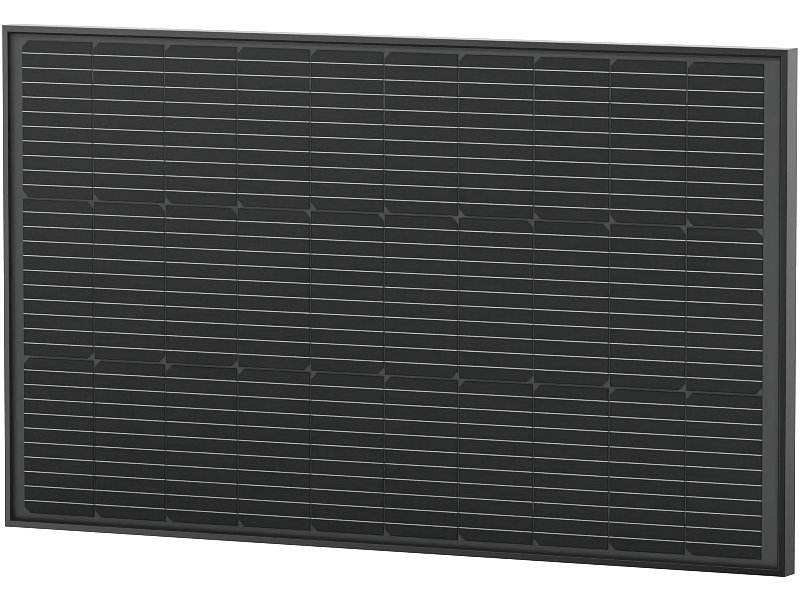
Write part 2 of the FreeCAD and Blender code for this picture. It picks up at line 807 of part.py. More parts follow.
def gland_nut(x):
    """Cap nut: a chamfered hexagon with a domed nose, running on the spigot."""
    top = gland_shoulder - nut_shoulder_gap
    bottom = top - nut_length
    hexagon = [(nut_corner_radius * math.cos(math.radians(60 * k + 30)),
                nut_corner_radius * math.sin(math.radians(60 * k + 30))) for k in range(6)]
    points = [vector(x + a, gland_depth + b, top) for a, b in hexagon]
    prism = Part.Face(Part.makePolygon(points + points[:1])).extrude(FreeCAD.Vector(0, 0, -nut_length))
    outer = nut_corner_radius
    hex_end = top - nut_hex_length
    dome = (nut_nose_radius + outer) / 2
    outline = [(0, top), (outer - nut_chamfer, top), (outer, top - nut_chamfer),
               (outer, hex_end + nut_chamfer), (dome, hex_end),
               (dome - nut_dome_taper, bottom + nut_dome_height), (nut_nose_radius, bottom + nut_nose_round),
               (nut_nose_radius - nut_nose_round, bottom), (0, bottom)]
    line = [vector(x + radius, gland_depth, z) for radius, z in outline]
    turned = Part.Face(Part.makePolygon(line + line[:1])).revolve(vector(x, gland_depth, 0),
                                                                   FreeCAD.Vector(0, 0, 1), 360)
    bore_end = gland_mouth - seal_proud - ring_thickness - 2 * ring_clearance
    nut = prism.common(turned)
    bore = gland_bar(x, nut_bore_radius, top + over, top + over - bore_end)
    mouth = gland_bar(x, nut_mouth_radius, top, nut_length + over)
    return nut.cut([bore, mouth])


def glands():
    made = {}
    for name, x in gland_places():
        made["gland_seal_" + name] = gland_seal(x)
        made["gland_ring_" + name] = gland_ring(x)
        made["gland_nut_" + name] = gland_nut(x)
    return made


# Assembly

def all_parts():
    parts = {}
    parts.update(frame_rails())
    parts["corner_keys"] = corner_keys()
    parts["frame_sealant"] = frame_sealant()
    parts["front_glass"] = front_glass()
    parts["front_encapsulant"] = front_encapsulant()
    parts["rear_encapsulant"] = rear_encapsulant()
    parts["backsheet"] = backsheet()
    parts.update(cells())
    parts.update(cell_ribbons())
    parts["bus_ribbons"] = bus_ribbons()
    parts["lead_ribbons"] = lead_ribbons()
    parts["insulation_strips"] = insulation_strips()
    parts["backing_films"] = backing_films()
    parts["box_adhesive"] = box_adhesive()
    parts["box_base"] = box_base()
    parts["box_lid"] = box_lid()
    parts["lid_seal"] = lid_seal()
    parts["hinge_pin"] = hinge_pin()
    parts["terminals"] = terminals()
    parts["bypass_diodes"] = bypass_diodes()
    parts.update(glands())
    return parts


def main():
    os.makedirs("parts", exist_ok=True)
    for name, shape in all_parts().items():
        shape.exportStep("parts/%s.step" % name)
        print("%-24s %3d solids %10.1f mm3" % (name, len(shape.Solids), shape.Volume))
    print("panel %.1f x %.1f x %.1f mm" % (panel_width, panel_height, frame_depth))
    print("gland travel %.2f mm" % (nut_turns * thread_pitch))


main()
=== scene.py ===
import bpy
import math
from mathutils import Matrix, Vector


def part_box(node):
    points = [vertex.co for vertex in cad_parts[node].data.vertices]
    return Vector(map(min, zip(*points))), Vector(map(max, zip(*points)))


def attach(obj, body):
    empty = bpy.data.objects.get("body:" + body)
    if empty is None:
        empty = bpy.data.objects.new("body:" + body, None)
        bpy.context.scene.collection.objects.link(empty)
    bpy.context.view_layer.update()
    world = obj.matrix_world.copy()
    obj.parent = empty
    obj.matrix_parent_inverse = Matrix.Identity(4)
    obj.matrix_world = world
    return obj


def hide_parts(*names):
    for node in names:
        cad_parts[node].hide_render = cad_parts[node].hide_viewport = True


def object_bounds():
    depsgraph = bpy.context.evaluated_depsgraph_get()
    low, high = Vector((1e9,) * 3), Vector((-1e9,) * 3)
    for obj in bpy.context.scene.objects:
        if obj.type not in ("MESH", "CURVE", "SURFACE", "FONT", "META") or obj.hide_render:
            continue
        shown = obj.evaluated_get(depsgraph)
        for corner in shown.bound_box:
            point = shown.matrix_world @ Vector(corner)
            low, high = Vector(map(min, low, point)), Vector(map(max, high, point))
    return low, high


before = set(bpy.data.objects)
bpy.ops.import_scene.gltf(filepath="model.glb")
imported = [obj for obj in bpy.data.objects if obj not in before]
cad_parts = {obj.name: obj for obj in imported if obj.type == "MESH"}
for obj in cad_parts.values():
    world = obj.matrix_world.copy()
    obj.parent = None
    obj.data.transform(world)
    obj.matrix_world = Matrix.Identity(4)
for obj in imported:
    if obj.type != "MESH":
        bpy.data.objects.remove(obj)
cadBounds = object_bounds()
print("frame loaded,", len(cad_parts), "nodes")

scene = bpy.context.scene
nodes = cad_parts
low, high = cadBounds
mm = 0.001
tiny = 1e-6
module = "module"


def layOutField():
    # where cells and ribbons repeat, read from the frame
    first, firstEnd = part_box("cell_row1_col01")
    beside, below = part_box("cell_row1_col02")[0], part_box("cell_row2_col01")[1]
    wires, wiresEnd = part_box("cell_ribbons_row1")
    width, perCell = 0.9 * mm, 10
    return {"left": first.x, "top": firstEnd.z, "cellWidth": firstEnd.x - first.x,
            "cellHeight": firstEnd.z - first.z, "columnPitch": beside.x - first.x,
            "rowPitch": firstEnd.z - below.z, "ribbonWidth": width,
            "ribbonPitch": (wiresEnd.z - wires.z - width) / (perCell - 1),
            "firstRibbon": firstEnd.z - wiresEnd.z + width / 2}


field = layOutField()


# small helpers for selecting and modelling
def deselectAll():
    if bpy.context.object and bpy.context.object.mode != "OBJECT":
        bpy.ops.object.mode_set(mode="OBJECT")
    bpy.ops.object.select_all(action="DESELECT")


def startBlock(name, corner, far):
    # a block between two corners, open for editing
    size = Vector(far) - Vector(corner)
    deselectAll()
    bpy.ops.mesh.primitive_cube_add(size=1, location=(Vector(corner) + Vector(far)) / 2, scale=size)
    block = bpy.context.object
    block.name = name
    bpy.ops.object.transform_apply(location=True, rotation=True, scale=True)
    return block


def pick(piece, kind, test):
    # selects the faces or edges that pass the test and opens edit mode
    bpy.ops.object.mode_set(mode="EDIT")
    bpy.ops.mesh.select_mode(type=kind)
    bpy.ops.mesh.select_all(action="DESELECT")
    bpy.ops.object.mode_set(mode="OBJECT")
    mesh = piece.data
    if kind == "FACE":
        for face in mesh.polygons:
            face.select = test(face.center, face.normal)
    else:
        for edge in mesh.edges:
            edge.select = test(*(mesh.vertices[i].co for i in edge.vertices))
    bpy.ops.object.mode_set(mode="EDIT")


def closeUp(piece, smoothAngle=35.0):
    # normals outward, soft shading, back to object mode
    bpy.ops.mesh.select_all(action="SELECT")
    bpy.ops.mesh.remove_doubles(threshold=tiny)
    bpy.ops.mesh.normals_make_consistent(inside=False)
    bpy.ops.object.mode_set(mode="OBJECT")
    bpy.ops.object.shade_smooth_by_angle(angle=math.radians(smoothAngle))
    return piece


def copyPiece(piece, matrix):
    # a copy with its own mesh, moved by the matrix
    twin = piece.copy()
    twin.data = piece.data.copy()
    twin.data.transform(matrix)
    scene.collection.objects.link(twin)
    return twin


def joinPieces(pieces, name):
    deselectAll()
    for piece in pieces:
        piece.select_set(True)
    bpy.context.view_layer.objects.active = pieces[0]
    bpy.ops.object.join()
    joined = bpy.context.object
    joined.name = name
    return joined


def fitPiece(piece, mat, body):
    piece.data.materials.clear()
    piece.data.materials.append(mat)
    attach(piece, body)


# small helpers for material nodes
def startMaterial(name):
    # a fresh material, its node tree and its Principled shader
    mat = bpy.data.materials.new(name)
    mat.use_nodes = True
    tree = mat.node_tree
    return mat, tree, tree.nodes["Principled BSDF"]


def addNode(tree, kind, **settings):
    node = tree.nodes.new(kind)
    for key, value in settings.items():
        setattr(node, key, value)
    return node


def calc(tree, operation, a, b, clamp=False):
    node = addNode(tree, "ShaderNodeMath", operation=operation, use_clamp=clamp)
    for socket, value in zip(node.inputs, (a, b)):
        if isinstance(value, (int, float)):
            socket.default_value = value
        else:
            tree.links.new(value, socket)
    return node.outputs[0]


def objectCoords(tree, scale=(1, 1, 1)):
    coords = addNode(tree, "ShaderNodeTexCoord")
    mapping = addNode(tree, "ShaderNodeMapping")
    mapping.inputs["Scale"].default_value = scale
    tree.links.new(coords.outputs["Object"], mapping.inputs["Vector"])
    return mapping.outputs["Vector"]


def axes(tree):
    split = addNode(tree, "ShaderNodeSeparateXYZ")
    tree.links.new(objectCoords(tree), split.inputs[0])
    return split.outputs["X"], split.outputs["Y"], split.outputs["Z"]


def noise(tree, vector, scale, detail=4.0, roughness=0.5):
    tex = addNode(tree, "ShaderNodeTexNoise")
    tex.inputs["Scale"].default_value = scale
    tex.inputs["Detail"].default_value = detail
    tex.inputs["Roughness"].default_value = roughness
    tree.links.new(vector, tex.inputs["Vector"])
    return tex.outputs["Fac"]


def ramp(tree, value, stops):
    # stops are (position, grey or colour)
    node = addNode(tree, "ShaderNodeValToRGB")
    while len(node.color_ramp.elements) < len(stops):
        node.color_ramp.elements.new(0.5)
    for element, (position, tone) in zip(node.color_ramp.elements, stops):
        element.position = position
        element.color = (tone, tone, tone, 1) if isinstance(tone, float) else (*tone, 1)
    tree.links.new(value, node.inputs["Fac"])
    return node.outputs["Color"]


noiseLow, noiseHigh = 0.3, 0.7  # most of a noise lies between these


def mottle(tree, value, tone, darker, lighter):
    # a tone that wanders between a darker and a lighter one
    return ramp(tree, value, [(noiseLow, tone * darker), (noiseHigh, tone * lighter)])


def spread(tree, value, fromLow, fromHigh, toLow, toHigh):
    node = addNode(tree, "ShaderNodeMapRange")
    for key, number in zip(("From Min", "From Max", "To Min", "To Max"), (fromLow, fromHigh, toLow, toHigh)):
        node.inputs[key].default_value = number
    tree.links.new(value, node.inputs["Value"])
    return node.outputs["Result"]


def varyRoughness(tree, bsdf, value, middle, give):
    rough = spread(tree, value, noiseLow, noiseHigh, middle - give, middle + give)
    tree.links.new(rough, bsdf.inputs["Roughness"])


def blendColours(tree, factor, first, second, how="MIX"):
    node = addNode(tree, "ShaderNodeMix", data_type="RGBA", blend_type=how)
    colours = [socket for socket in node.inputs if socket.type == "RGBA"]
    for socket, value in zip([node.inputs[0]] + colours, (factor, first, second)):
        if isinstance(value, tuple):
            socket.default_value = (*value, 1)
        elif isinstance(value, (int, float)):
            socket.default_value = value
        else:
            tree.links.new(value, socket)
    return [socket for socket in node.outputs if socket.type == "RGBA"][0]


def bump(tree, height, strength, distance, under=None):
    node = addNode(tree, "ShaderNodeBump")
    node.inputs["Strength"].default_value = strength
    node.inputs["Distance"].default_value = distance
    tree.links.new(height, node.inputs["Height"])
    if under is not None:
        tree.links.new(under, node.inputs["Normal"])
    return node.outputs["Normal"]


def acrossCell(tree, x):
    # how far a point is from the left edge of its cell
    return calc(tree, "FLOORED_MODULO", calc(tree, "SUBTRACT", x, field["left"]), field["columnPitch"])


def downCell(tree, z):
    # how far a point is below the top edge of its cell
    return calc(tree, "FLOORED_MODULO", calc(tree, "SUBTRACT", field["top"], z), field["rowPitch"])


def edgeDistance(tree, place, length):
    return calc(tree, "MINIMUM", place, calc(tree, "SUBTRACT", length, place))


def rimDistance(tree, across, down):
    # how far a point is from the nearest edge of its cell
    return calc(tree, "MINIMUM", edgeDistance(tree, across, field["cellWidth"]),
                edgeDistance(tree, down, field["cellHeight"]))


def ribbonDistance(tree, down):
    # how far a point is from the middle of the nearest ribbon
    return calc(tree, "PINGPONG", calc(tree, "SUBTRACT", down, field["firstRibbon"]),
                field["ribbonPitch"] / 2)


def paint(names, mat):
    for name in names:
        mesh = nodes[name].data
        mesh.materials.clear()
        mesh.materials.append(mat)


# black anodised rails, with faint drawing lines along each rail
anodised = {"tone": 0.006, "iorAlongX": 2.15, "iorUpright": 2.3, "roughness": 0.13,
            "roughnessSpread": 0.03, "grainPerMetre": 900.0, "stretch": 0.012,
            "bumpStrength": 0.05, "bumpDistance": 0.02 * mm, "cloudPerMetre": 9.0,
            "darker": 0.9, "lighter": 1.1, "lineLow": 0.25, "lineHigh": 0.75}


def makeAnodised(name, alongX):
    a = anodised
    mat, tree, bsdf = startMaterial(name)
    stretch = (a["stretch"], 1, 1) if alongX else (1, 1, a["stretch"])
    lines = noise(tree, objectCoords(tree, stretch), a["grainPerMetre"], 3.0)
    cloud = noise(tree, objectCoords(tree), a["cloudPerMetre"], 3.0)
    tree.links.new(mottle(tree, cloud, a["tone"], a["darker"], a["lighter"]), bsdf.inputs["Base Color"])
    tree.links.new(spread(tree, lines, a["lineLow"], a["lineHigh"], a["roughness"] - a["roughnessSpread"],
                          a["roughness"] + a["roughnessSpread"]), bsdf.inputs["Roughness"])
    tree.links.new(bump(tree, lines, a["bumpStrength"], a["bumpDistance"]), bsdf.inputs["Normal"])
    bsdf.inputs["IOR"].default_value = a["iorAlongX"] if alongX else a["iorUpright"]
    return mat


paint(["frame_rail_top", "frame_rail_bottom"], makeAnodised("anodisedAlongX", True))
paint(["frame_rail_left", "frame_rail_right"], makeAnodised("anodisedUpright", False))


# texturised silicon: painted shade along the cell rims and painted shadow lines beside the ribbons,
# hair-thin silver fingers
silicon = {"tone": 0.034, "cloudPerMetre": 14.0, "rimShadeDepth": 1.5 * mm, "rimShadeTone": 0.35,
           "shadowReach": 1.5 * mm, "shadowTone": 0.55, "fingerPitch": 1.42 * mm, "fingerHalf": 0.03 * mm,
           "fingerTone": 0.055, "roughness": 0.6, "ior": 1.2, "darker": 0.95, "lighter": 1.05,
           "bluer": 0.01}


def makeSilicon():
    s = silicon
    mat, tree, bsdf = startMaterial("texturedSilicon")
    x, _, z = axes(tree)
    across, down = acrossCell(tree, x), downCell(tree, z)
    cloud = noise(tree, objectCoords(tree), s["cloudPerMetre"], 2.0)
    ends = [tuple(s["tone"] * (level + blue) for blue in (0, 0, s["bluer"]))
            for level in (s["darker"], s["lighter"])]
    wafer = ramp(tree, cloud, list(zip((noiseLow, noiseHigh), ends)))
    finger = calc(tree, "PINGPONG", across, s["fingerPitch"] / 2)
    isFinger = calc(tree, "LESS_THAN", finger, s["fingerHalf"])
    printed = blendColours(tree, isFinger, wafer, (s["fingerTone"],) * 3)
    # painted shade: each cell darkens towards its rims, standing for the shade at the gaps between cells
    rimShade = spread(tree, rimDistance(tree, across, down), 0.0, s["rimShadeDepth"], s["rimShadeTone"], 1.0)
    # painted shadow: each cell darkens beside every ribbon, standing for the ribbon's shadow
    lineShade = spread(tree, ribbonDistance(tree, down), field["ribbonWidth"] / 2, s["shadowReach"],
                       s["shadowTone"], 1.0)
    shade = calc(tree, "MULTIPLY", rimShade, lineShade)
    tree.links.new(blendColours(tree, 1.0, printed, shade, "MULTIPLY"), bsdf.inputs["Base Color"])
    bsdf.inputs["Roughness"].default_value = s["roughness"]
    bsdf.inputs["IOR"].default_value = s["ior"]
    return mat


paint([name for name in nodes if name.startswith("cell_row")], makeSilicon())


# tinned ribbons, dark where they cross from cell to cell
ribbon = {"tone": 0.80, "roughness": 0.42, "roughnessSpread": 0.04, "metallic": 0.2,
          "grainPerMetre": 4000.0, "stretch": 0.05, "gapTone": 0.085, "darker": 0.92, "lighter": 1.05}


def makeTinned(name, blackGaps):
    r = ribbon
    mat, tree, bsdf = startMaterial(name)
    grain = noise(tree, objectCoords(tree, (r["stretch"], 1, 1)), r["grainPerMetre"], 3.0)
    tin = mottle(tree, grain, r["tone"], r["darker"], r["lighter"])
    if blackGaps:
        inGap = calc(tree, "GREATER_THAN", acrossCell(tree, axes(tree)[0]), field["cellWidth"])
        tin = blendColours(tree, inGap, tin, (r["gapTone"],) * 3)
        tree.links.new(calc(tree, "MULTIPLY", calc(tree, "SUBTRACT", 1.0, inGap), r["metallic"]),
                       bsdf.inputs["Metallic"])
    else:
        bsdf.inputs["Metallic"].default_value = r["metallic"]
    tree.links.new(tin, bsdf.inputs["Base Color"])
    varyRoughness(tree, bsdf, grain, r["roughness"], r["roughnessSpread"])
    return mat


paint([name for name in nodes if name.startswith("cell_ribbons")], makeTinned("tinnedRibbon", True))
paint(["bus_ribbons", "lead_ribbons"], makeTinned("tinnedBus", False))


# black laminated sheets; cells and ribbons press through the backsheet as a faint relief
sheet = {"tone": 0.098, "filmTone": 0.105, "rearTone": 0.022, "roughness": 0.6, "grainPerMetre": 700.0,
         "grainStrength": 0.2, "grainDepth": 0.05 * mm, "reliefStrength": 0.6, "cellRelief": 0.06 * mm,
         "edgeSoft": 2.0 * mm, "ribbonSoft": 1.6 * mm, "darker": 0.95, "lighter": 1.05,
         "rearDarker": 0.9, "rearLighter": 1.1}


def makeSheet(name, tone, relief):
    s = sheet
    mat, tree, bsdf = startMaterial(name)
    fine = noise(tree, objectCoords(tree), s["grainPerMetre"], 4.0)
    colour = mottle(tree, fine, tone, s["darker"], s["lighter"])
    normal = bump(tree, fine, s["grainStrength"], s["grainDepth"])
    if relief:
        x, y, z = axes(tree)
        sheetLow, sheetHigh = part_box("backsheet")
        isRear = calc(tree, "GREATER_THAN", y, (sheetLow.y + sheetHigh.y) / 2)
        rear = mottle(tree, fine, s["rearTone"], s["rearDarker"], s["rearLighter"])
        colour = blendColours(tree, isRear, colour, rear)
        across, down = acrossCell(tree, x), downCell(tree, z)
        cells = spread(tree, rimDistance(tree, across, down), 0.0, s["edgeSoft"], 0.0, 1.0)
        lines = spread(tree, ribbonDistance(tree, down), 0.0, s["ribbonSoft"], 1.0, 0.0)
        normal = bump(tree, calc(tree, "ADD", cells, lines), s["reliefStrength"], s["cellRelief"], normal)
    tree.links.new(colour, bsdf.inputs["Base Color"])
    tree.links.new(normal, bsdf.inputs["Normal"])
    bsdf.inputs["Roughness"].default_value = s["roughness"]
    return mat


paint(["backsheet"], makeSheet("blackBacksheet", sheet["tone"], True))
paint(["backing_films", "insulation_strips"], makeSheet("blackFilm", sheet["filmTone"], False))


# silicone and rubber, matte, with slow lumps left by the nozzle
rubbery = {"silicone": 0.011, "seal": 0.016, "ior": 1.2, "roughnessSpread": 0.05, "lumpStrength": 0.3,
           "dustPerLump": 12, "darker": 0.75, "lighter": 1.25}


def makeRubbery(name, tone, lumpsPerMetre, depth, roughness):
    r = rubbery
    mat, tree, bsdf = startMaterial(name)
    bsdf.inputs["IOR"].default_value = r["ior"]
    lumps = noise(tree, objectCoords(tree), lumpsPerMetre, 3.0)
    dust = noise(tree, objectCoords(tree), lumpsPerMetre * r["dustPerLump"], 4.0)
    tree.links.new(mottle(tree, lumps, tone, r["darker"], r["lighter"]), bsdf.inputs["Base Color"])
    varyRoughness(tree, bsdf, dust, roughness, r["roughnessSpread"])
    tree.links.new(bump(tree, lumps, r["lumpStrength"], depth), bsdf.inputs["Normal"])
    return mat


paint(["frame_sealant", "box_adhesive"],
      makeRubbery("blackSilicone", rubbery["silicone"], 60.0, 0.3 * mm, 0.6))
paint(["gland_seal_left", "gland_seal_right", "lid_seal"],
      makeRubbery("sealRubber", rubbery["seal"], 300.0, 0.05 * mm, 0.7))


# moulded plastics, with a spark-eroded grain and slow flow marks
moulded = {"box": 0.016, "nut": 0.013, "ring": 0.62, "sparkPerMetre": 2600.0, "sparkDepth": 0.05 * mm,
           "flowPerMetre": 35.0, "roughnessSpread": 0.06, "darker": 0.9, "lighter": 1.15}


def makeMoulded(name, tone, roughness, strength):
    m = moulded
    mat, tree, bsdf = startMaterial(name)
    spark = noise(tree, objectCoords(tree), m["sparkPerMetre"], 3.0, 0.6)
    flow = noise(tree, objectCoords(tree), m["flowPerMetre"], 2.0)
    tree.links.new(mottle(tree, flow, tone, m["darker"], m["lighter"]), bsdf.inputs["Base Color"])
    varyRoughness(tree, bsdf, spark, roughness, m["roughnessSpread"])
    tree.links.new(bump(tree, spark, strength, m["sparkDepth"]), bsdf.inputs["Normal"])
    return mat


boxPlastic = makeMoulded("boxPlastic", moulded["box"], 0.5, 0.45)
nutPlastic = makeMoulded("nutPlastic", moulded["nut"], 0.42, 0.3)
paint(["box_base", "box_lid"], boxPlastic)
paint(["gland_nut_left", "gland_nut_right"], nutPlastic)
paint(["gland_ring_left", "gland_ring_right"], makeMoulded("naturalAcetal", moulded["ring"], 0.3, 0.1))


# diodes of moulded epoxy, a pale band at one end and tinned wires at both
diode = {"tone": 0.012, "bandFrom": 2.6 * mm, "bandTo": 3.8 * mm, "bodyHalf": 4.75 * mm, "bandTone": 0.45,
         "wireTone": 0.6, "grainPerMetre": 900.0, "roughness": 0.38, "darker": 0.8, "lighter": 1.2,
         "offMiddle": 5}


def makeDiode():
    d = diode
    mat, tree, bsdf = startMaterial("diodeEpoxy")
    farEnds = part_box("bypass_diodes")[1]
    firstTerminal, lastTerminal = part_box("terminals")
    middle = (farEnds.x - (lastTerminal.x - firstTerminal.x) / d["offMiddle"]) / 2
    place = calc(tree, "SUBTRACT", calc(tree, "ABSOLUTE", axes(tree)[0], 0.0), middle)
    body = noise(tree, objectCoords(tree), d["grainPerMetre"], 3.0)
    epoxy = mottle(tree, body, d["tone"], d["darker"], d["lighter"])
    band = calc(tree, "MULTIPLY", calc(tree, "GREATER_THAN", place, d["bandFrom"]),
                calc(tree, "LESS_THAN", place, d["bandTo"]))
    banded = blendColours(tree, band, epoxy, (d["bandTone"],) * 3)
    wire = calc(tree, "GREATER_THAN", calc(tree, "ABSOLUTE", place, 0.0), d["bodyHalf"])
    tree.links.new(blendColours(tree, wire, banded, (d["wireTone"],) * 3), bsdf.inputs["Base Color"])
    tree.links.new(wire, bsdf.inputs["Metallic"])
    bsdf.inputs["Roughness"].default_value = d["roughness"]
    return mat


paint(["bypass_diodes"], makeDiode())


# bare metals, each with its own drawing direction
metals = {"pin": 0.55, "terminal": (0.62, 0.60, 0.56), "key": 0.58, "darkerLines": 0.88,
          "roughnessSpread": 0.06, "lineStrength": 0.2, "lineDepth": 0.02 * mm}


def makeMetal(name, tone, stretch, linesPerMetre, roughness):
    m = metals
    mat, tree, bsdf = startMaterial(name)
    lines = noise(tree, objectCoords(tree, stretch), linesPerMetre, 4.0)
    colour = (tone,) * 3 if isinstance(tone, float) else tone
    darker = tuple(m["darkerLines"] * c for c in colour)
    tree.links.new(ramp(tree, lines, [(noiseLow, darker), (noiseHigh, colour)]), bsdf.inputs["Base Color"])
    varyRoughness(tree, bsdf, lines, roughness, m["roughnessSpread"])
    tree.links.new(bump(tree, lines, m["lineStrength"], m["lineDepth"]), bsdf.inputs["Normal"])
    bsdf.inputs["Metallic"].default_value = 1.0
    return mat


paint(["hinge_pin"], makeMetal("drawnSteel", metals["pin"], (0.04, 1, 1), 3000.0, 0.3))
paint(["terminals"], makeMetal("tinnedCopper", metals["terminal"], (1, 1, 0.1), 1500.0, 0.35))
paint(["corner_keys"], makeMetal("millAluminium", metals["key"], (1, 0.03, 1), 1200.0, 0.4))
print("materials given to the CAD nodes")


# one clear laminate stands for the glass and both encapsulant layers
laminate = {"edgeBevel": 0.4 * mm, "cornerRound": 2.0 * mm, "lapIntoSheet": 0.1 * mm, "ior": 1.33,
            "shineRoughness": 0.42, "tint": (0.985, 0.995, 0.99), "ripplesPerMetre": 30.0,
            "rippleStrength": 0.03, "rippleDepth": 0.1 * mm}


def makeGlass():
    # clear straight through, mirroring by its angle
    g = laminate
    mat, tree, bsdf = startMaterial("solarGlass")
    out = tree.nodes["Material Output"]
    tree.nodes.remove(bsdf)
    clear = addNode(tree, "ShaderNodeBsdfTransparent")
    clear.inputs["Color"].default_value = (*g["tint"], 1)
    shine = addNode(tree, "ShaderNodeBsdfGlossy")
    shine.inputs["Roughness"].default_value = g["shineRoughness"]
    shine.inputs["Color"].default_value = (1, 1, 1, 1)
    ripple = noise(tree, objectCoords(tree), g["ripplesPerMetre"], 2.0)
    tree.links.new(bump(tree, ripple, g["rippleStrength"], g["rippleDepth"]), shine.inputs["Normal"])
    fresnel = addNode(tree, "ShaderNodeFresnel")
    fresnel.inputs["IOR"].default_value = g["ior"]
    pane = addNode(tree, "ShaderNodeMixShader")
    tree.links.new(fresnel.outputs["Fac"], pane.inputs[0])
    tree.links.new(clear.outputs["BSDF"], pane.inputs[1])
    tree.links.new(shine.outputs["BSDF"], pane.inputs[2])
    tree.links.new(pane.outputs["Shader"], out.inputs["Surface"])
    return mat


def makeLaminate():
    g = laminate
    glassLow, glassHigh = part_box("front_glass")
    front, back = glassLow.y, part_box("backsheet")[0].y + g["lapIntoSheet"]
    slab = startBlock("clearLaminate", glassLow, (glassHigh.x, back, glassHigh.z))
    depth = back - front
    pick(slab, "EDGE", lambda a, b: abs(a.y - b.y) > depth / 2)  # the four corners, seen from the front
    bpy.ops.mesh.bevel(offset=g["cornerRound"], segments=5)
    bpy.ops.object.mode_set(mode="OBJECT")
    pick(slab, "EDGE", lambda a, b: max(a.y, b.y) < front + tiny)  # the ground edge round the front
    bpy.ops.mesh.bevel(offset=g["edgeBevel"], segments=2)
    closeUp(slab, 30.0)
    fitPiece(slab, makeGlass(), module)
    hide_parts("front_glass", "front_encapsulant", "rear_encapsulant")


makeLaminate()
print("glass made")


# the lid's raised panel, with a sunk middle
lidPanel = {"halfWidth": 36.0 * mm, "halfHeight": 24.0 * mm, "proud": 0.6 * mm, "cornerRound": 4.0 * mm,
            "rim": 1.6 * mm, "sink": 0.3 * mm, "edgeBevel": 0.25 * mm, "root": 0.3 * mm}


def makeLidPanel():
    p = lidPanel
    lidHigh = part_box("box_lid")[1]
    boxLow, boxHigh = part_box("box_adhesive")
    middle = (boxLow.z + boxHigh.z) / 2
    back = lidHigh.y + p["proud"]
    panel = startBlock("lidPanel", (-p["halfWidth"], lidHigh.y - p["root"], middle - p["halfHeight"]),
                       (p["halfWidth"], back, middle + p["halfHeight"]))
    pick(panel, "EDGE", lambda a, b: abs(a.y - b.y) > p["proud"] / 2)
    bpy.ops.mesh.bevel(offset=p["cornerRound"], segments=6)
    bpy.ops.object.mode_set(mode="OBJECT")
    pick(panel, "FACE", lambda centre, normal: normal.y > 0.9)
    bpy.ops.mesh.inset(thickness=p["rim"])
    bpy.ops.mesh.extrude_region_move(TRANSFORM_OT_translate={"value": (0, -p["sink"], 0)})
    bpy.ops.object.mode_set(mode="OBJECT")
    pick(panel, "EDGE", lambda a, b: min(a.y, b.y) > back - tiny)
    bpy.ops.mesh.bevel(offset=p["edgeBevel"], segments=2, clamp_overlap=True)
    closeUp(panel)
    fitPiece(panel, boxPlastic, "lid")


makeLidPanel()


# raised plus and minus above the two glands
marks = {"half": 0.7 * mm, "arm": 2.4 * mm, "proud": 0.45 * mm, "root": 0.2 * mm, "bevel": 0.15 * mm,
         "aboveEdge": 6.5 * mm}


def makeMark(name, x, upright):
    m = marks
    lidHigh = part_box("box_lid")[1]
    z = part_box("box_adhesive")[0].z + m["aboveEdge"]
    h = m["half"]
    mark = startBlock(name, (x - h, lidHigh.y - m["root"], z - h), (x + h, lidHigh.y + m["proud"], z + h))
    reach = [(1, 0), (-1, 0)] + ([(0, 1), (0, -1)] if upright else [])
    for dx, dz in reach:  # one arm at a time
        pick(mark, "FACE", lambda centre, normal: normal.x * dx + normal.z * dz > 0.9 and
             abs(centre.x - x) < h + tiny and abs(centre.z - z) < h + tiny)
        bpy.ops.mesh.extrude_region_move(TRANSFORM_OT_translate={"value": (dx * m["arm"], 0, dz * m["arm"])})
        bpy.ops.object.mode_set(mode="OBJECT")
    pick(mark, "FACE", lambda centre, normal: normal.y > 0.9)
    bpy.ops.mesh.inset(thickness=m["bevel"])
    bpy.ops.transform.translate(value=(0, m["bevel"], 0))
    closeUp(mark)
    fitPiece(mark, boxPlastic, "lid")


nutLeft, nutRight = (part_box("gland_nut_" + side) for side in ("left", "right"))
makeMark("plusMark", (nutLeft[0].x + nutLeft[1].x) / 2, True)
makeMark("minusMark", (nutRight[0].x + nutRight[1].x) / 2, False)


# ribs that the thumb pushes, across the lid's tongue
tongueRibs = {"count": 4, "pitch": 1.5 * mm, "width": 0.7 * mm, "proud": 0.45 * mm, "halfLength": 5.5 * mm,
              "fromTip": 1.2 * mm, "root": 0.3 * mm, "edgeRound": 0.3 * mm}


def makeTongueRibs():
    t = tongueRibs
    lidLow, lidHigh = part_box("box_lid")
    start = lidLow.y + t["fromTip"]
    rib = startBlock("tongueRib", (-t["halfLength"], start, lidLow.z - t["proud"]),
                     (t["halfLength"], start + t["width"], lidLow.z + t["root"]))
    pick(rib, "EDGE", lambda a, b: max(a.z, b.z) < lidLow.z)
    bpy.ops.mesh.bevel(offset=t["edgeRound"], segments=3)
    closeUp(rib)
    ribs = [rib] + [copyPiece(rib, Matrix.Translation((0, i * t["pitch"], 0))) for i in range(1, t["count"])]
    fitPiece(joinPieces(ribs, "tongueRibs"), boxPlastic, "lid")


makeTongueRibs()


# grip ribs on the six flats of each cap nut
gripRibs = {"flats": 6, "perFlat": 3, "pitch": 2.0 * mm, "halfWidth": 0.4 * mm, "proud": 0.35 * mm,
            "root": 0.4 * mm, "fromShoulder": 1.5 * mm, "length": 6.0 * mm, "edgeRound": 0.2 * mm}


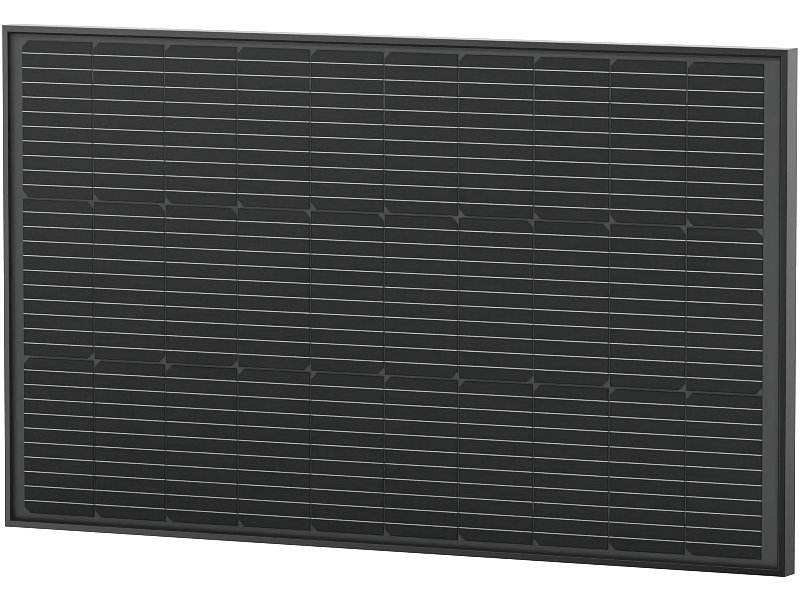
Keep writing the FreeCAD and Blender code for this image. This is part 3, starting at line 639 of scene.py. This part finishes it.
def makeGripRibs(side):
    g = gripRibs
    nutLow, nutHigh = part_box("gland_nut_" + side)
    axis = Vector(((nutLow.x + nutHigh.x) / 2, (nutLow.y + nutHigh.y) / 2, 0))
    flat = (nutHigh.x - nutLow.x) / 2
    top = nutHigh.z - g["fromShoulder"]
    face = axis.x + flat
    rib = startBlock("gripRib", (face - g["root"], axis.y - g["halfWidth"], top - g["length"]),
                     (face + g["proud"], axis.y + g["halfWidth"], top))
    pick(rib, "EDGE", lambda a, b: min(a.x, b.x) > face)
    bpy.ops.mesh.bevel(offset=g["edgeRound"], segments=2)
    closeUp(rib)
    half = (g["perFlat"] - 1) / 2
    places = [Matrix.Translation((0, (i - half) * g["pitch"], 0)) for i in range(g["perFlat"])]
    ribs = []
    for turn in range(g["flats"]):
        angle = turn * 2 * math.pi / g["flats"]
        spin = Matrix.Translation(axis) @ Matrix.Rotation(angle, 4, "Z") @ Matrix.Translation(-axis)
        ribs += [copyPiece(rib, spin @ place) for place in places]
    bpy.data.objects.remove(rib)
    fitPiece(joinPieces(ribs, "gripRibs_" + side), nutPlastic, "nut_" + side)


# the thread that shows on each spigot once its nut is off the shoulder
thread = {"pitch": 1.5 * mm, "turns": 5, "root": 5.72 * mm, "crest": 5.98 * mm, "halfBase": 0.45 * mm,
          "fromEnd": 1.0 * mm, "steps": 48}


def makeThread(side):
    t = thread
    nutLow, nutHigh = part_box("gland_nut_" + side)
    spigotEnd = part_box("box_base")[0].z
    deselectAll()
    bpy.ops.mesh.primitive_circle_add(vertices=4, radius=t["halfBase"], fill_type="NGON",
                                      rotation=(math.pi / 2, 0, 0))
    ridge = bpy.context.object
    ridge.name = "spigotThread_" + side
    bpy.ops.object.transform_apply(location=True, rotation=True, scale=True)
    bpy.ops.object.mode_set(mode="EDIT")
    bpy.ops.transform.resize(value=((t["crest"] - t["root"]) / (2 * t["halfBase"]), 1, 1))
    bpy.ops.transform.translate(value=((t["crest"] + t["root"]) / 2, 0, 0))
    bpy.ops.object.mode_set(mode="OBJECT")
    ridge.location = ((nutLow.x + nutHigh.x) / 2, (nutLow.y + nutHigh.y) / 2,
                      spigotEnd + t["fromEnd"])
    wind = ridge.modifiers.new("wind", "SCREW")
    wind.axis = "Z"
    wind.angle = 2 * math.pi * t["turns"]
    wind.screw_offset = t["pitch"] * t["turns"]
    wind.steps = wind.render_steps = t["steps"] * t["turns"]
    wind.use_smooth_shade = True
    bpy.ops.object.modifier_apply(modifier="wind")
    bpy.ops.object.transform_apply(location=True, rotation=True, scale=True)
    pick(ridge, "EDGE", lambda a, b: False)
    bpy.ops.mesh.select_non_manifold(extend=False)
    bpy.ops.mesh.edge_face_add()
    closeUp(ridge)
    fitPiece(ridge, boxPlastic, module)


for side in ("left", "right"):
    makeGripRibs(side)
    makeThread(side)


# the breather in the box's lower wall
breather = {"radius": 3.0 * mm, "proud": 0.9 * mm, "rim": 0.7 * mm, "sink": 0.4 * mm, "bevel": 0.25 * mm,
            "fromTongue": 4.4 * mm, "edgeSlack": 0.01 * mm}


def makeBreather():
    b = breather
    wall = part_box("box_adhesive")[0].z
    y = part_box("box_lid")[0].y - b["fromTongue"]
    deselectAll()
    bpy.ops.mesh.primitive_cylinder_add(vertices=48, radius=b["radius"], depth=b["proud"] * 2,
                                        location=(0, y, wall))
    cap = bpy.context.object
    cap.name = "breatherCap"
    bpy.ops.object.transform_apply(location=True, rotation=True, scale=True)
    pick(cap, "FACE", lambda centre, normal: normal.z < -0.9)
    bpy.ops.mesh.inset(thickness=b["rim"])
    bpy.ops.mesh.extrude_region_move(TRANSFORM_OT_translate={"value": (0, 0, b["sink"])})
    bpy.ops.mesh.inset(thickness=b["rim"] / 2)
    bpy.ops.mesh.extrude_region_move(TRANSFORM_OT_translate={"value": (0, 0, -b["sink"] / 2)})
    bpy.ops.object.mode_set(mode="OBJECT")
    outer = b["radius"] - tiny
    pick(cap, "EDGE", lambda p, q: max(p.z, q.z) < wall - b["proud"] + tiny and
         all(math.hypot(v.x, v.y - y) > outer - b["edgeSlack"] for v in (p, q)))
    bpy.ops.mesh.bevel(offset=b["bevel"], segments=3)
    closeUp(cap)
    fitPiece(cap, boxPlastic, module)


makeBreather()
print("lid panel, marks, ribs, threads and breather made")


# a studio that is white behind, bright at the left in front and dark at the right
studio = {"floorSize": 60.0, "floorTone": 0.9, "floorRoughness": 0.8, "floorGlow": 0.45, "backdrop": 1.0,
          "frontLevel": 0.39, "frontAcross": -5.6, "frontUp": 2.8, "frontCentre": (-0.425, -0.103),
          "lowestFall": -0.06, "behindLevel": 0.6, "behindUp": 9.0, "behindCentre": -0.103,
          "turnOver": 0.3, "lampPower": 120.0}


def makeFloor():
    s = studio
    deselectAll()
    bpy.ops.mesh.primitive_plane_add(size=s["floorSize"], location=(0, 0, low.z))
    floor = bpy.context.object
    floor.name = "studioFloor"
    mat, tree, bsdf = startMaterial("paleFloor")
    bsdf.inputs["Base Color"].default_value = (s["floorTone"],) * 3 + (1,)
    bsdf.inputs["Roughness"].default_value = s["floorRoughness"]
    glow = addNode(tree, "ShaderNodeEmission")
    glow.inputs["Strength"].default_value = s["floorGlow"]
    add = addNode(tree, "ShaderNodeAddShader")
    tree.links.new(bsdf.outputs["BSDF"], add.inputs[0])
    tree.links.new(glow.outputs["Emission"], add.inputs[1])
    tree.links.new(add.outputs["Shader"], tree.nodes["Material Output"].inputs["Surface"])
    floor.data.materials.append(mat)
    floor.visible_glossy = False


def makeWorld():
    s = studio
    world = bpy.data.worlds.new("studioWorld")
    scene.world = world
    world.use_nodes = True
    tree = world.node_tree
    room = tree.nodes["Background"]
    coords = addNode(tree, "ShaderNodeTexCoord")
    split = addNode(tree, "ShaderNodeSeparateXYZ")
    tree.links.new(coords.outputs["Generated"], split.inputs[0])
    x, y, z = split.outputs["X"], split.outputs["Y"], split.outputs["Z"]
    across = calc(tree, "MULTIPLY", calc(tree, "SUBTRACT", x, s["frontCentre"][0]), s["frontAcross"])
    rising = calc(tree, "MAXIMUM", calc(tree, "SUBTRACT", z, s["frontCentre"][1]), s["lowestFall"])
    up = calc(tree, "MULTIPLY", rising, s["frontUp"])
    front = calc(tree, "ADD", calc(tree, "ADD", across, up), s["frontLevel"], clamp=True)
    rise = calc(tree, "MULTIPLY", calc(tree, "SUBTRACT", z, s["behindCentre"]), s["behindUp"])
    behind = calc(tree, "ADD", rise, s["behindLevel"], clamp=True)
    side = spread(tree, y, -s["turnOver"], s["turnOver"], 0.0, 1.0)
    level = addNode(tree, "ShaderNodeMix")
    tree.links.new(side, level.inputs["Factor"])
    tree.links.new(front, level.inputs["A"])
    tree.links.new(behind, level.inputs["B"])
    tree.links.new(level.outputs["Result"], room.inputs["Strength"])
    room.inputs["Color"].default_value = (1, 1, 1, 1)
    white = addNode(tree, "ShaderNodeBackground")
    white.inputs["Color"].default_value = (1, 1, 1, 1)
    white.inputs["Strength"].default_value = s["backdrop"]
    path = addNode(tree, "ShaderNodeLightPath")
    mix = addNode(tree, "ShaderNodeMixShader")
    tree.links.new(path.outputs["Is Camera Ray"], mix.inputs[0])
    tree.links.new(room.outputs["Background"], mix.inputs[1])
    tree.links.new(white.outputs["Background"], mix.inputs[2])
    tree.links.new(mix.outputs["Shader"], tree.nodes["World Output"].inputs["Surface"])


def makeLamp(name, place, size):
    # a soft rectangle that faces the middle of the panel
    lampData = bpy.data.lights.new(name, "AREA")
    lampData.shape = "RECTANGLE"
    lampData.size, lampData.size_y = size
    lampData.energy = studio["lampPower"]
    lamp = bpy.data.objects.new(name, lampData)
    scene.collection.objects.link(lamp)
    lamp.location = place
    lamp.rotation_euler = (-Vector(place)).to_track_quat("-Z", "Y").to_euler()
    lamp.visible_camera = False
    lamp.visible_glossy = False


makeFloor()
makeWorld()
makeLamp("frontSoft", (1.5, -4.0, 3.0), (3.0, 2.0))
makeLamp("topSoft", (0.0, 0.5, 3.5), (5.0, 5.0))



camera = {"azimuth": 25.279, "elevation": 5.885, "distance": 8.149, "lens": 324.36,
          "aim": (0.0191, 0.0, -0.0047)}


def makeCamera():
    c = camera
    a, e = math.radians(c["azimuth"]), math.radians(c["elevation"])
    back = Vector((math.sin(a) * math.cos(e), -math.cos(a) * math.cos(e), math.sin(e)))
    camData = bpy.data.cameras.new("mainCamera")
    camData.lens = c["lens"]
    cam = bpy.data.objects.new("mainCamera", camData)
    scene.collection.objects.link(cam)
    aim = Vector(((low.x + high.x) / 2, low.y, (low.z + high.z) / 2)) + Vector(c["aim"])
    cam.location = aim + back * c["distance"]
    cam.rotation_euler = (-back).to_track_quat("-Z", "Y").to_euler()
    scene.camera = cam


makeCamera()
scene.view_settings.view_transform = "Standard"


# a mild sharpening of the finished picture, in display tones
sharpen = {"amount": 0.045, "displayGamma": 2.2}


def makeSharpening():
    scene.use_nodes = True
    tree = scene.node_tree
    tree.nodes.clear()
    kinds = ("RLayers", "Gamma", "Filter", "Gamma", "Composite")
    chain = [addNode(tree, "CompositorNode" + kind) for kind in kinds]
    chain[2].filter_type = "SHARPEN"
    chain[1].inputs["Gamma"].default_value = 1 / sharpen["displayGamma"]
    chain[2].inputs["Fac"].default_value = sharpen["amount"]
    chain[3].inputs["Gamma"].default_value = sharpen["displayGamma"]
    for before, after in zip(chain, chain[1:]):
        tree.links.new(before.outputs["Image"], after.inputs["Image"])


makeSharpening()
scene.cycles.use_denoising = True
scene.cycles.use_adaptive_sampling = False
scene.cycles.filter_width = 1.0
print("studio and camera set")
